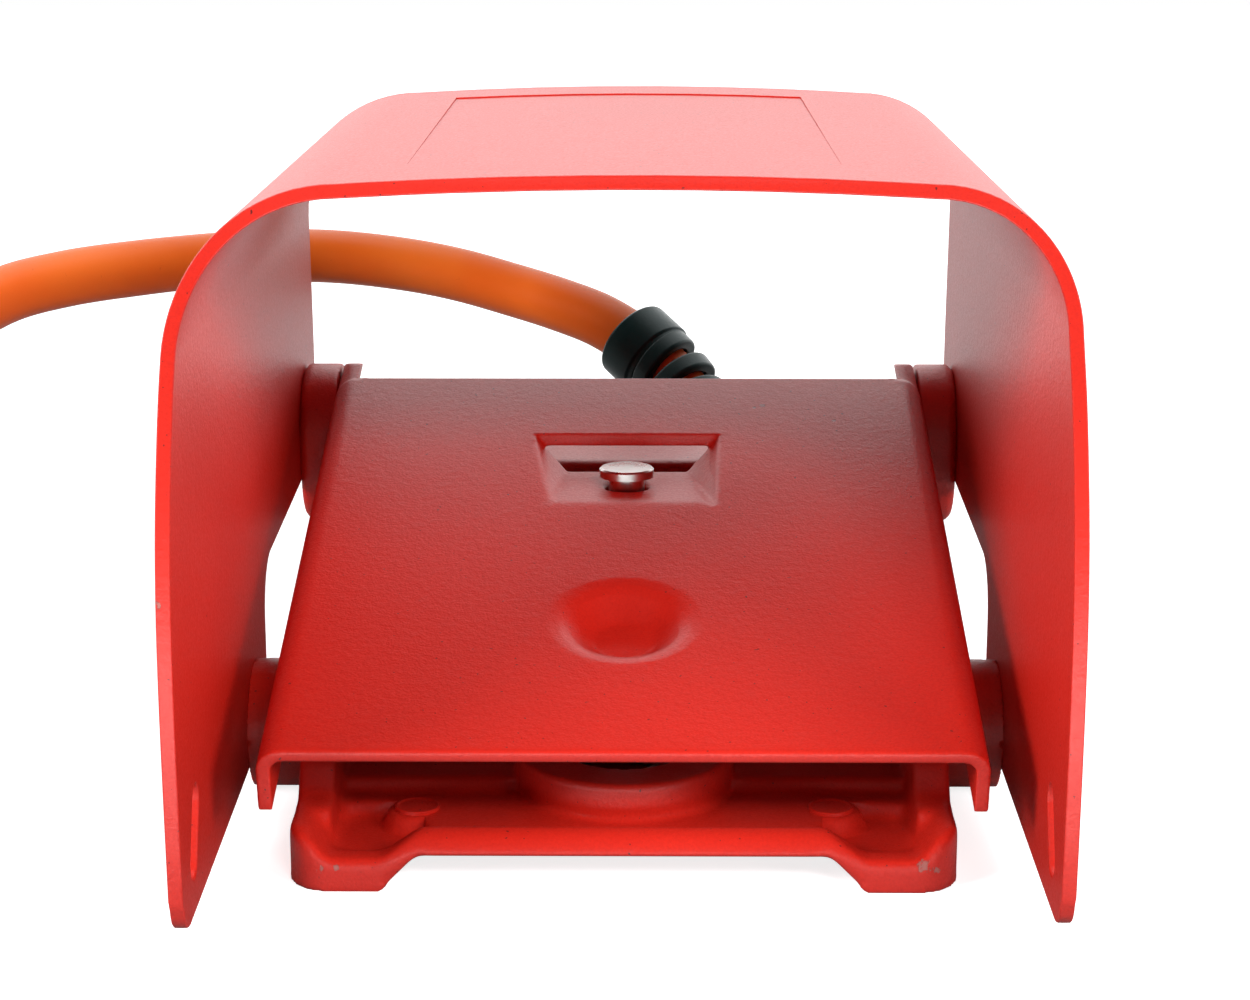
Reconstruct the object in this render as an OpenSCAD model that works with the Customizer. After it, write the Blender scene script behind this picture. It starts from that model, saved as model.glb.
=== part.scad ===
// Guarded industrial foot switch: pressed pedal in a bent-sheet hood on a die-cast base,
// latching switch with a release pin, cable gland with a bend-protection spiral, and cable.
// Origin: middle of the footprint, on the floor. X across, Y towards the rear, Z up. Millimetres.

/* [Hood] */
// Outside width of the hood
hood_w = 162; // [150:1:200]
// Height of the hood's top at its front edge
hood_h = 137; // [125:1:170]
// Depth of the hood from its front edge to its rear edge
hood_d = 205.5; // [190:0.5:250]
// Thickness of the hood sheet, with its paint
hood_t = 2.7; // [1.5:0.1:3.5]
// Outside radius of the hood's left bend
hood_left_r = 30; // [12:1:40]
// Outside radius of the hood's right bend, hand-bent a little tighter
hood_right_r = 25; // [12:1:40]
// Rise of the crowned top between the bends
hood_crown = 1.6; // [0.5:0.1:3]
// Depth of the bare label recess on the top
label_depth = 0.6; // [0.3:0.1:1]

/* [Pedal] */
// Width of the pedal over its side flanges
pedal_w = 137.5; // [125:0.5:145]
// Thickness of the pedal sheet, with its paint
pedal_t = 2.7; // [2:0.1:3.2]
// Outside radius of the pedal's bends
pedal_r = 5; // [3.5:0.5:7]
// Slope of the pedal at rest
pedal_slope = 16.9; // [15:0.1:18]
// Height of the pedal's front edge
pedal_front_z = 30.5; // [30:0.5:33]
// Depth of the side flanges at the front
flange_h = 11.5; // [8:0.5:12]
// Travel of the pedal in degrees, used for the clearances round it
pedal_travel = 5.5; // [4:0.1:5.5]

/* [Base] */
// Width of the cast base
base_w = 129; // [120:0.5:135]
// Height of the deck over the switch chamber
deck_z = 45; // [42:0.5:45]
// Wall thickness of the casting
base_wall = 5; // [4:0.5:6]
// Outside radius of the cup for the pedal spring
cup_r = 21.8; // [18:0.2:24]
// Radius of the cup's bore
cup_bore_r = 12; // [11:0.5:14]
// Diameter of the pivot pins
pivot_d = 10; // [8:0.5:10]

/* [Release pin] */
// Diameter of the release pin's shank
release_d = 8; // [6:0.5:9]
// Diameter of the release pin's head
release_head_d = 12; // [10:0.5:14]
// Travel of the release pin
release_travel = 2; // [1:0.1:2]

/* [Cable] */
// Outside diameter of the cable
cable_d = 14.5; // [12:0.5:15]

/* [Hidden] */
$fn = 48;
eps = 0.01;
seat = 0.3; // running gap between pieces that move past each other
fit = 0.05; // radial clearance of pins, screws and shafts in their holes

// Colours
paint_red = "#d3261d";
steel = "#b9bcbd";
brass = "#b8964a";
black = "#1d2224";
gland_green = "#16302f";
cable_orange = "#f4702c";

// Hood outline, seen from the side
hood_front_y = -hood_d / 2;
hood_rear_y = hood_d / 2;
hood_foot_z = 5; // lowest edge of the side walls at the front
hood_boss_lap = 5.5; // how far a side wall reaches below the screw in each boss
wall_lobe_r = 17.5; // side wall round the front boss
wall_notch_r = 12; // inside corner of the side wall behind the front boss

// Pivot of the pedal, in the rear bosses
pivot_y = 84;
pivot_z = 53.8;
rear_boss_r = 14.5;
rear_boss_h = 38.2;
rear_boss_low = 4.6; // middle of the lower half circle below the pivot
boss_gap = 0.4; // between a rear boss and the pedal's flange
lug_in = pedal_w / 2 + boss_gap + 0.15;
wall_in = hood_w / 2 - hood_t; // inner face of the hood's side walls

// Front bosses
front_boss_y = -10.4;
front_boss_z = 14;
front_boss_r = 13.5;

// Base
base_front_y = -70.3;
base_rear_y = 75;
foot_w = 18.2; // flat underside of each front foot, across
foot_rise = 7.2; // height of the arch between the feet
tray_z = 8.7; // floor of the front tray
step_y = -38.5; // riser behind the tray
step_z = 11.6;
rim_z = 11.4; // top of the front rim
side_wall = 7.5; // side walls of the tray
chamber_front_y = -6;
cup_y = -33.65;
cup_top_z = 15;
cup_floor_z = 4.5;
cheek_t = 12; // inner cheek of a rear boss
web_top_z = 53.5; // top of the web between the rear bosses
web_front_y = 64; // its front edge
web_rear_y = 98; // its rear edge
cover_t = 2;
cover_z = 3; // underside of the bottom cover above the floor
gasket_t = 1;
chamber_z = cover_z + cover_t + gasket_t;
chamber_top = deck_z - base_wall + 1;
foot_lift = 2; // underside of the casting between front and rear feet
dip_z = 6.5; // top of the front rim over each foot
chamber_y0 = chamber_front_y + base_wall;
chamber_y1 = base_rear_y - base_wall;
plug_x = 41;
plug_y = -47.8;
plug_r = 4.5;
earth_x = -38;
earth_z = 20;

// Pedal plate plane: height of its top over y, at rest
plate_front_y = -76.75;
plate_rear_y = 64.75;
function plate_z(y) = pedal_front_z + (y - plate_front_y) * tan(pedal_slope);
plate_len = (plate_rear_y - plate_front_y) / cos(pedal_slope);
dimple_y = cup_y - 0.2;
dimple_deep = 5.2;
window_y0 = 8.8;
window_y1 = 39;
window_w = 41;
pocket_w = 27;
ear_r = 10;

// Release pin and actuating plunger
release_y = 24.85;
release_head_t = 2;
release_top_z = 61.3;
pocket_z = 57; // top of the pocket's floor, level
plunger_x = -26.5;
plunger_y = 50.5;
plunger_r = 5;
plunger_gap = 0.3;
// Height of the pedal's underside over the plunger, and of the plunger's dome
under_plunger = plate_z(plunger_y) - pedal_t / cos(pedal_slope);
plunger_dome_z = under_plunger - plunger_gap - plunger_r / cos(pedal_slope); // dome's centre

guide_r = 6; // bush that guides the release pin
bush_r = 8; // bush that guides the plunger
keeper_z = chamber_top - 2;
keeper_floor_z = 21;
point_z = 20.1; // tip of the release pin, in the slide's opening
slide_z = 17.7;
block_z = 17;
block_y0 = 42;
block_y1 = 65;
block_screw_x = 18.5;
block_screw_y = 56;

// Gland and cable
gland_x = 24;
gland_z = 33;
thread_r = 10; // M20 thread
gland_hex = 24; // across flats
gland_bore_r = cable_d / 2 + 0.3;
gland_nut_y = base_rear_y + 6.5;
gland_end_y = base_rear_y + 16.5; // end of the gland's dome nut
cable_r = cable_d / 2;
// Axis of the cable from the dome nut through the spiral, and on to the coil
cable_pts = [[24, 68, 33], [24, 76, 33], [24, 82, 33], [24, 87.5, 33], [23.6, 104.8, 35.1],
  [22.1, 119.7, 40.6], [18.6, 132.5, 48.1], [12.5, 143.5, 56.5], [3, 153, 64.5], [-7.1, 159.7, 70],
  [-18.7, 165.7, 73.6], [-31.3, 171, 76.7], [-47.5, 175, 80.6], [-63.7, 175.9, 83.5],
  [-82.8, 172.3, 86.1], [-100.7, 163.9, 87.3], [-115.5, 153.1, 87.6], [-130.2, 141.2, 87.4],
  [-145, 127.8, 86.7], [-158, 114, 84.5], [-168, 99.5, 78.6], [-176, 84, 69], [-182, 68.5, 57],
  [-187, 52, 43.8], [-190.5, 35.5, 30.8], [-192.4, 19, cable_r + 12.6],
  [-193, 3, cable_r + 5.05], [-193, -13, cable_r + 1.2], [-193, -28, cable_r]];
spiral_from = 3; // the bend-protection spiral follows the cable from this point
spiral_to = 8; // to this one
coil_mid_r = 5.1 * cable_d; // middle of a bundle two turns wide and two turns high
coil_x = -193 - coil_mid_r - cable_r;
coil_y = -28;
tail_x = coil_x - coil_mid_r - cable_r;
connector_y = 34;
connector_z = 13.5;
connector_r = 13;
tail_pts = [[tail_x, coil_y, 3 * cable_r], [tail_x, -14, 3 * cable_r - 0.5],
  [tail_x, 0, connector_z + 4.9], [tail_x, 15, connector_z + 1.4], [tail_x, 26, connector_z + 0.2],
  [tail_x, connector_y + 0.5, connector_z], [tail_x, connector_y + 11, connector_z]];

// ---------- helpers ----------

// Points of an arc, as a list, from angle a0 to a1
function arc(c, r, a0, a1, n = 8) =
  [for (i = [0:n]) let (a = a0 + (a1 - a0) * i / n) [c[0] + r * cos(a), c[1] + r * sin(a)]];

// Lays a 2D shape drawn as [y, z] in the YZ plane, from x0 to x1
module side_extrude(x0, x1) {
  translate([x0, 0, 0]) rotate([90, 0, 90]) linear_extrude(x1 - x0) children();
}

module mirror_x() {
  children();
  mirror([1, 0, 0]) children();
}

// Cylinder along X from x0 to x1
module x_rod(x0, x1, r, y = 0, z = 0) {
  translate([x0, y, z]) rotate([0, 90, 0]) cylinder(r = r, h = x1 - x0);
}

// Cylinder along Y from y0 to y1
module y_rod(y0, y1, r, x = 0, z = 0) {
  translate([x, y0, z]) rotate([-90, 0, 0]) cylinder(r = r, h = y1 - y0);
}

function cross3(a, b) = [a[1] * b[2] - a[2] * b[1], a[2] * b[0] - a[0] * b[2], a[0] * b[1] - a[1] * b[0]];
function unit(v) = v / norm(v);

// Point i + t of a Catmull-Rom curve through pts
function curve_at(pts, i, t) =
  let (n = len(pts),
       p0 = i > 0 ? pts[i - 1] : 2 * pts[0] - pts[1],
       p1 = pts[i], p2 = pts[i + 1],
       p3 = i + 2 < n ? pts[i + 2] : 2 * pts[n - 1] - pts[n - 2])
  0.5 * (2 * p1 + (p2 - p0) * t + (2 * p0 - 5 * p1 + 4 * p2 - p3) * t * t
    + (3 * p1 - p0 - 3 * p2 + p3) * t * t * t);

function curve(pts, per) =
  [for (i = [0:len(pts) - 2]) for (k = [0:per - 1]) curve_at(pts, i, k / per), pts[len(pts) - 1]];

function tangent(path, i) =
  unit(path[min(i + 1, len(path) - 1)] - path[max(i - 1, 0)]);

// One closed polyhedron: circles of radius r round each point of path
module tube(path, r, sides) {
  n = len(path);
  rings = [for (i = [0:n - 1])
    let (t = tangent(path, i), u = unit(cross3([0.15, -0.25, 1], t)), v = cross3(t, u))
    for (k = [0:sides - 1]) let (a = 360 * k / sides) path[i] + r * (cos(a) * u + sin(a) * v)];
  walls = [for (i = [0:n - 2]) for (k = [0:sides - 1])
    let (k1 = (k + 1) % sides)
    [i * sides + k, (i + 1) * sides + k, (i + 1) * sides + k1, i * sides + k1]];
  ends = [[for (k = [0:sides - 1]) k], [for (k = [sides - 1:-1:0]) (n - 1) * sides + k]];
  polyhedron(concat(rings, [path[0], path[n - 1]]), concat(walls, ends));
}

// Compression spring along Z with closed ends: mean radius r, wire radius w, from z0 to z1;
// its top end can lean towards +Y and tilt by an angle
module helix(r, w, z0, z1, turns, steps = 16, sides = 6, lean = 0, tilt = 0) {
  n = ceil(turns * steps);
  closed = 0.62;
  tube([for (i = [0:n])
    let (a = 360 * i / steps,
         f = min(1, max(0, (i / steps - closed) / (n / steps - 2 * closed))),
         y = r * sin(a))
    [r * cos(a), y * (1 - f + f * cos(tilt)) + lean * f,
     z0 + w + (z1 - z0 - 2 * w) * f + y * f * sin(tilt)]], w, sides);
}

// Screw along +Z: shank of length l below the head, head of height hh with a hexagon socket
module socket_screw(d, l, head_d, hh, socket = 4) {
  difference() {
    union() {
      translate([0, 0, -l]) cylinder(d = d, h = l + eps);
      cylinder(d = head_d, h = hh - 0.6);
      translate([0, 0, hh - 0.6]) rotate_extrude() polygon([[0, 0], [head_d / 2, 0],
        [head_d / 2 - 0.6, 0.6], [0, 0.6]]);
    }
    translate([0, 0, hh * 0.4]) cylinder(d = socket / cos(30), h = hh, $fn = 6);
  }
}

// ---------- hood ----------

// U-shaped section of the sheet with a crowned top, moved inwards by inset
module hood_section(inset) {
  w = hood_w / 2 - inset;
  top = hood_h - inset;
  left_r = hood_left_r - inset;
  right_r = hood_right_r - inset;
  x0 = -w + left_r;
  x1 = w - right_r;
  half = (x1 - x0) / 2;
  crown_r = (half * half + hood_crown * hood_crown) / (2 * hood_crown);
  translate([-w, -1]) square([w + 0.01, top - left_r + 1]);
  translate([0, -1]) square([w, top - right_r + 1]);
  translate([x0, 0]) square([2 * half, top]);
  translate([x0, top - left_r]) circle(r = left_r, $fn = 96);
  translate([x1, top - right_r]) circle(r = right_r, $fn = 96);
  intersection() {
    translate([x0 + half, top + hood_crown - crown_r]) circle(r = crown_r, $fn = 360);
    translate([x0, top - 3]) square([2 * half, hood_crown + 4]);
  }
}

// Swept-back front edge of the side walls, from the foot to the top, as [y, z]
function hood_front_edge() = curve([[hood_front_y + 1, 12], [hood_front_y + 0.5, 28],
  [hood_front_y + 0.3, 46], [hood_front_y + 1, 62], [hood_front_y + 3.2, 76],
  [hood_front_y + 7, 88.5], [hood_front_y + 12, 100.5], [hood_front_y + 17.6, 110.5],
  [hood_front_y + 22.6, 120], [hood_front_y + 26, 129], [hood_front_y + 28, hood_h + 0.3]], 3);

// Outline of the hood from the side, as [y, z]
function hood_side() = concat(
  [[hood_rear_y - 4.4, hood_h + 10], [hood_rear_y - 4.2, hood_h],
   [hood_rear_y - 3, 106], [hood_rear_y - 0.8, 78], [hood_rear_y, pivot_z + 4],
   [hood_rear_y, pivot_z - hood_boss_lap + 3]],
  arc([hood_rear_y - 3, pivot_z - hood_boss_lap + 3], 3, 0, -90, 4),
  arc([front_boss_y + wall_lobe_r + wall_notch_r, pivot_z - hood_boss_lap - 4.5 - wall_notch_r],
    wall_notch_r, 90, 180, 8),
  arc([front_boss_y + wall_lobe_r - 6, front_boss_z - hood_boss_lap + 6], 6, 0, -90, 5),
  arc([hood_front_y + 8, hood_foot_z + 6], 6, -90, -170, 6),
  hood_front_edge(),
  [[hood_front_y + 28.3, hood_h + 10]]);

module hood_slots() {
  translate([0, hood_front_y + 15.7, 19.5]) rotate([-24, 0, 0])
    for (s = [-1, 1]) scale([s, 1, 1]) {
      for (e = [-1, 1]) x_rod(wall_in - 1, hood_w / 2 + 1, 3.5, 0, e * 5);
      translate([wall_in - 1, -3.5, -5]) cube([hood_t + 2, 7, 10]);
    }
}

module hood() {
  color(paint_red) difference() {
    intersection() {
      translate([0, hood_rear_y + 1, 0]) rotate([90, 0, 0]) linear_extrude(hood_d + 2)
        difference() {
          hood_section(0);
          hood_section(hood_t);
        }
      side_extrude(-hood_w / 2 - 1, hood_w / 2 + 1) polygon(hood_side());
    }
    hood_slots();
    for (b = [[pivot_y, pivot_z], [front_boss_y, front_boss_z]])
      x_rod(-hood_w, hood_w, 3.2, b[0], b[1]);
    // bare label recess following the crown
    difference() {
      translate([-40.3, -51, hood_h - 4]) cube([80.6, 130, 12]);
      translate([0, 80, 0]) rotate([90, 0, 0]) linear_extrude(132) hood_section(label_depth);
    }
  }
}

// Screws and washers that hold the hood to the four bosses
module hood_screw(y, z) {
  translate([hood_w / 2 + 1.2 + fit, y, z]) rotate([0, 90, 0]) socket_screw(6, 14, 11, 3.5);
}

module hood_screws_rear() {
  color(steel) mirror_x() hood_screw(pivot_y, pivot_z);
}

module hood_screws_front() {
  color(steel) mirror_x() hood_screw(front_boss_y, front_boss_z);
}

module hood_washers() {
  color(steel) mirror_x() for (b = [[pivot_y, pivot_z], [front_boss_y, front_boss_z]])
    difference() {
      x_rod(hood_w / 2, hood_w / 2 + 1.2, 6.5, b[0], b[1]);
      x_rod(hood_w / 2 - 1, hood_w / 2 + 2, 3.2, b[0], b[1]);
    }
}

// ---------- base ----------

// Outline of the casting from the side, as [y, z]
function base_side() = concat(
  [[base_front_y, 0]],
  arc([base_front_y + 5, rim_z - 5], 5, 180, 100, 6),
  [[-51, rim_z + 0.9], [-47.5, 18.5]],
  arc([11, deck_z - 6], 6, 111, 90, 3),
  arc([base_rear_y - 3, deck_z - 3], 3, 90, 0, 5),
  [[base_rear_y, 0]]);

// Plan of the casting: rounded rectangle
module base_plan(inset = 0) {
  w = base_w / 2 - inset;
  r = 8;
  translate([0, (base_front_y + base_rear_y) / 2]) {
    square([2 * w, base_rear_y - base_front_y - 2 * r - 2 * inset], center = true);
    square([2 * (w - r), base_rear_y - base_front_y - 2 * inset], center = true);
    for (x = [-1, 1], y = [-1, 1])
      translate([x * (w - r), y * ((base_rear_y - base_front_y) / 2 - inset - r)]) circle(r = r);
  }
}

// Obround outline of a rear boss, as 2D [y, z]
module rear_boss_outline(r = rear_boss_r) {
  low = pivot_z - rear_boss_low;
  high = low + rear_boss_h - 2 * rear_boss_r;
  for (z = [low, high]) translate([pivot_y, z]) circle(r = r, $fn = 72);
  translate([pivot_y - r, low]) square([2 * r, high - low]);
}

// Space between the two cheeks of a rear boss in which the pedal's ear turns
module ear_slot_outline() {
  heel = pivot_z - ear_r + 0.1;
  translate([pivot_y, pivot_z]) circle(r = ear_r + 1, $fn = 72);
  translate([pivot_y - 40, heel - 5]) square([40, 60]);
  translate([pivot_y - 1, heel]) square([ear_r + 2, 40]);
}

// Inner cheek of a rear boss, lower than the boss itself
module cheek_outline() {
  translate([pivot_y, pivot_z - rear_boss_low]) circle(r = rear_boss_r, $fn = 72);
  translate([pivot_y, pivot_z]) circle(r = rear_boss_r - 2, $fn = 72);
}

module rear_arm() {
  side_extrude(base_w / 2 - cheek_t, base_w / 2) union() {
    cheek_outline();
    translate([base_rear_y - 12, 18]) square([pivot_y - base_rear_y + 12, pivot_z - 18]);
  }
  difference() {
    side_extrude(base_w / 2 - eps, wall_in - 1) rear_boss_outline();
    side_extrude(base_w / 2 - 1, lug_in) ear_slot_outline();
  }
  side_extrude(wall_in - 1 - eps, wall_in) rear_boss_outline(rear_boss_r - 1);
}

// Raised web over the gland that ties the two rear bosses together
module rear_web() {
  side_extrude(-base_w / 2 + cheek_t - eps, base_w / 2 - cheek_t + eps)
    polygon(concat([[web_front_y, deck_z - 1]], arc([web_front_y + 2.5, web_top_z - 2.5], 2.5, 180, 90, 6),
      arc([web_rear_y - 2.5, web_top_z - 2.5], 2.5, 90, 0, 6),
      [[web_rear_y, 46.6]], arc([base_rear_y + 1, 45.6], 1, 90, 180, 3)));
}

// Pockets of the tray with a rounded rim left round them
module tray_cut() {
  w = base_w / 2 - side_wall;
  y0 = base_front_y + 6.5;
  translate([-w, y0 + 4, tray_z]) cube([2 * w, step_y - y0 - 4, 40]);
  translate([-w + 4, y0, tray_z]) cube([2 * w - 8, 10, 40]);
  for (s = [-1, 1]) translate([s * (w - 4), y0 + 4, tray_z]) cylinder(r = 4, h = 40);
  translate([-w, step_y - 1, step_z]) cube([2 * w, chamber_front_y - step_y + 1, 40]);
}

// Pocket in each front foot
module foot_pocket() {
  w = base_w / 2 - side_wall;
  translate([w - 14, base_front_y + 10.5, tray_z - 3.5]) {
    cube([10, 12, 10]);
    for (x = [0, 10], y = [0, 12]) translate([x, y, 0]) cylinder(r = 4, h = 10);
    translate([-4, 0, 0]) cube([18, 12, 10]);
    translate([0, -4, 0]) cube([10, 20, 10]);
  }
}

// Arch under the front edge, between the front feet, fading out towards the rear
module foot_arch() {
  w = base_w / 2 - foot_w;
  intersection() {
    translate([0, 0, 0]) rotate([90, 0, 0]) linear_extrude(100)
      polygon([[-w, -1], [w, -1], [w, 0], [w - 7.1, foot_rise], [-w + 7.1, foot_rise], [-w, 0]]);
    side_extrude(-100, 100) polygon([[base_front_y - 1, -1], [base_front_y - 1, foot_rise + 1],
      [base_front_y, foot_rise], [base_front_y + 21, foot_lift], [base_front_y + 21, -1]]);
  }
}

// Dip of the front rim over each foot, following the arch below it
module rim_dip() {
  w = base_w / 2;
  translate([0, base_front_y + 13, 0]) rotate([90, 0, 0]) linear_extrude(15)
    polygon([[w - foot_w - 7.1, rim_z + 3], [w - foot_w - 7.1, rim_z], [w - foot_w, dip_z],
      [w - 8, dip_z], [w - 3.5, rim_z], [w - 3.5, rim_z + 3]]);
}

// Places of the bottom cover's screws, in posts in the chamber's corners
function cover_screw_places() = [for (x = [-1, 1], y = [chamber_y0 + 4, chamber_y1 - 4])
  [x * (base_w / 2 - base_wall - 4), y]];

module chamber() {
  w = base_w / 2 - base_wall;
  difference() {
    translate([-w, chamber_y0, -1]) cube([2 * w, chamber_y1 - chamber_y0, chamber_top + 1]);
    for (p = cover_screw_places()) translate([p[0], p[1], chamber_z]) cylinder(r = 5, h = 60);
  }
  // rebate that the bottom cover and its gasket lie in
  bottom_plate(chamber_z + 1, -1, fit);
}

// Plate that fills the rebate in the underside
module bottom_plate(t, z, grow = 0) {
  w = base_w / 2 - base_wall + 2.2 + grow;
  y0 = chamber_y0 - 2.2 - grow;
  translate([-w, y0, z]) cube([2 * w, chamber_y1 + 2.2 + grow - y0, t]);
}

module base_housing() {
  foot_len = 22;
  color(paint_red) difference() {
    union() {
      difference() {
        intersection() {
          side_extrude(-base_w / 2, base_w / 2) polygon(base_side());
          linear_extrude(80) base_plan();
        }
        tray_cut();
        mirror_x() rim_dip();
        translate([-base_w, base_front_y + foot_len, -1])
          cube([2 * base_w, base_rear_y - base_front_y - 2 * foot_len, foot_lift + 1]);
      }
      translate([0, cup_y, foot_lift]) rotate_extrude() polygon(concat([[0, 0], [cup_r, 0]],
        arc([cup_r - 3.5, cup_top_z - foot_lift - 3.5], 3.5, 0, 90, 6),
        [[0, cup_top_z - foot_lift]]));
      mirror_x() {
        rear_arm();
        x_rod(base_w / 2 - 1, wall_in - 2, front_boss_r, front_boss_y, front_boss_z);
        x_rod(wall_in - 2 - eps, wall_in, front_boss_r - 1.2, front_boss_y, front_boss_z);
      }
      rear_web();
      translate([0, release_y, deck_z - eps]) cylinder(r = 9, h = 1 + eps);
      translate([plunger_x, plunger_y, deck_z - eps]) cylinder(r = 11, h = 3 + eps);
    }
    foot_arch();
    mirror_x() foot_pocket();
    chamber();
    translate([0, cup_y, cup_floor_z]) cylinder(r = cup_bore_r, h = 40);
    mirror_x() {
      x_rod(base_w / 2 - 20, wall_in + 1, pivot_d / 2 + fit, pivot_y, pivot_z);
      x_rod(wall_in - 16, wall_in + 1, 3 + fit, front_boss_y, front_boss_z);
      translate([plug_x, plug_y, -1]) cylinder(r = 3.3, h = 20);
      translate([plug_x, plug_y, tray_z - 1.2]) cylinder(r = plug_r + fit, h = 20);
    }
    translate([0, release_y, chamber_top - 1]) cylinder(r = guide_r + fit, h = 40);
    translate([plunger_x, plunger_y, chamber_top - 1]) cylinder(r = bush_r + fit, h = 40);
    y_rod(base_rear_y - 11, base_rear_y + 5, thread_r + fit, gland_x, gland_z);
    for (p = cover_screw_places()) translate([p[0], p[1], 0]) cylinder(r = 2 + fit, h = 16);
    translate([plunger_x, 0, 0]) mirror_x() translate([block_screw_x, block_screw_y, chamber_top - 1])
      cylinder(r = 2 + fit, h = 4);
    translate([earth_x, chamber_y0 - 4, earth_z]) rotate([-90, 0, 0]) cylinder(r = 2 + fit, h = 10);
  }
}

module bottom_cover() {
  color(steel) difference() {
    bottom_plate(cover_t, cover_z);
    for (p = cover_screw_places()) translate([p[0], p[1], -1]) cylinder(r = 2.2, h = 20);
  }
}

module cover_gasket() {
  w = base_w / 2 - base_wall;
  color(black) difference() {
    bottom_plate(gasket_t, cover_z + cover_t);
    difference() {
      translate([-w, chamber_y0, 0]) cube([2 * w, chamber_y1 - chamber_y0, 20]);
      for (p = cover_screw_places()) translate([p[0], p[1], -1]) cylinder(r = 5, h = 40);
    }
    for (p = cover_screw_places()) translate([p[0], p[1], -1]) cylinder(r = 2.2, h = 20);
  }
}

module cover_screws() {
  color(steel) for (p = cover_screw_places()) translate([p[0], p[1], cover_z]) rotate([180, 0, 0])
    socket_screw(4, 10, 7, 2, 2.5);
}

// Plugs that close the two floor-fixing holes in the tray
module floor_hole_plugs() {
  color(paint_red) mirror_x() translate([plug_x, plug_y, tray_z - 1.2]) {
    cylinder(r = plug_r, h = 1.5);
    translate([0, 0, -2]) cylinder(r = 3.3 - fit, h = 3);
    difference() {
      cylinder(r = plug_r, h = 1.9);
      cylinder(r = plug_r - 0.7, h = 4);
    }
  }
}

// ---------- pivot ----------

module pivot_pins() {
  color(steel) mirror_x() difference() {
    x_rod(base_w / 2 - 19.5, wall_in - 0.4, pivot_d / 2, pivot_y, pivot_z);
    x_rod(wall_in - 16, wall_in, 3 + fit, pivot_y, pivot_z);
  }
}

// Flanged bushes in the pedal's ears
module pivot_bushes() {
  ear_in = pedal_w / 2 - pedal_t;
  color(brass) mirror_x() difference() {
    union() {
      x_rod(base_w / 2 + seat, ear_in, pivot_d / 2 + 2.5, pivot_y, pivot_z);
      x_rod(ear_in - eps, pedal_w / 2 + 0.1, pivot_d / 2 + 1, pivot_y, pivot_z);
    }
    x_rod(0, hood_w, pivot_d / 2 + fit, pivot_y, pivot_z);
  }
}

// ---------- pedal ----------

// Puts a shape drawn with its plate's top on z = 0, front edge on y = 0, onto the pedal's plane
module on_pedal() {
  translate([0, plate_front_y, pedal_front_z]) rotate([pedal_slope, 0, 0]) children();
}

// Plate and flanges, an upside-down U, seen from the front; inset by the sheet for the inside
module pedal_section(inset) {
  w = pedal_w / 2 - inset;
  r = pedal_r - inset;
  translate([-w, -80]) square([2 * w, 80 - r - inset]);
  translate([-w + r, -80]) square([2 * (w - r), 80 - inset]);
  for (s = [-1, 1]) translate([s * (w - r), -r - inset]) circle(r = r);
}

// Outline of the flanges and ears from the side, as 2D [y, z]
module pedal_outline() {
  heel = pivot_z - ear_r + 0.1 + seat;
  front_drop = flange_h / cos(pedal_slope);
  end_y = pivot_y - 9;
  polygon([[plate_front_y - 20, 60], [plate_front_y - 20, pedal_front_z - 20 * tan(pedal_slope) - front_drop],
    [front_boss_y - 4, plate_z(front_boss_y - 4) - front_drop],
    [front_boss_y + 22, pivot_z - ear_r - 3.2], [pivot_y - 12, pivot_z - ear_r - 1.6],
    [pivot_y, pivot_z - ear_r], [end_y + 0.01, 60], [end_y, 100], [plate_front_y - 20, 100]]);
  translate([pivot_y, pivot_z]) circle(r = ear_r);
  polygon(concat([[end_y - 2, heel], [pivot_y + 9, heel], [pivot_y + ear_r, pivot_z - 4]],
    arc([end_y, plate_z(end_y) - 18.5], 18.5, 4, 90, 10), [[end_y - 2, plate_z(end_y) - 1]]));
}

// Solid with a four-cornered foot and a four-cornered top, both listed anticlockwise from above
module prism8(low, high) {
  polyhedron(concat(low, high), concat([[0, 1, 2], [0, 2, 3], [4, 6, 5], [4, 7, 6]],
    [for (i = [0:3]) let (j = (i + 1) % 4) each [[i, i + 4, j], [j, i + 4, j + 4]]]));
}

// Four corners of the pocket: half widths at the near and far edge, y and z of both edges
function corners(w0, w1, y0, y1, z0, z1) = [[-w0, y0, z0], [w0, y0, z0], [w1, y1, z1], [-w1, y1, z1]];

module pocket_inside() {
  w = window_w / 2;
  prism8(corners(16.4, pocket_w / 2, window_y0 + 2, window_y1, pocket_z, pocket_z),
    corners(w - 1, w + 0.5, window_y0 - 0.3, window_y1, plate_z(window_y0 - 0.3) + eps,
      plate_z(window_y1) + eps));
}

module pocket_outside() {
  w = window_w / 2;
  z = pocket_z - pedal_t;
  prism8(corners(18, pocket_w / 2 + 2, window_y0 - 1.5, window_y1, z, z),
    corners(w + 1, w + 3, window_y0 - 3, window_y1, plate_z(window_y0 - 3) - 1,
      plate_z(window_y1) - 1));
}

// Drawn dimple, as the outline of half its section, pushed down by drop
module dimple(drop, grow) {
  rotate_extrude($fn = 72) polygon([[0, -dimple_deep - drop], [6 + grow, -dimple_deep - drop],
    [7 + grow, -dimple_deep + 0.4 - drop], [11.4 + grow, -1.3 - drop], [13.4 + grow, -0.4 - drop],
    [15.6 + grow, eps - drop], [15.6 + grow, 1], [0, 1]]);
}

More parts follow.
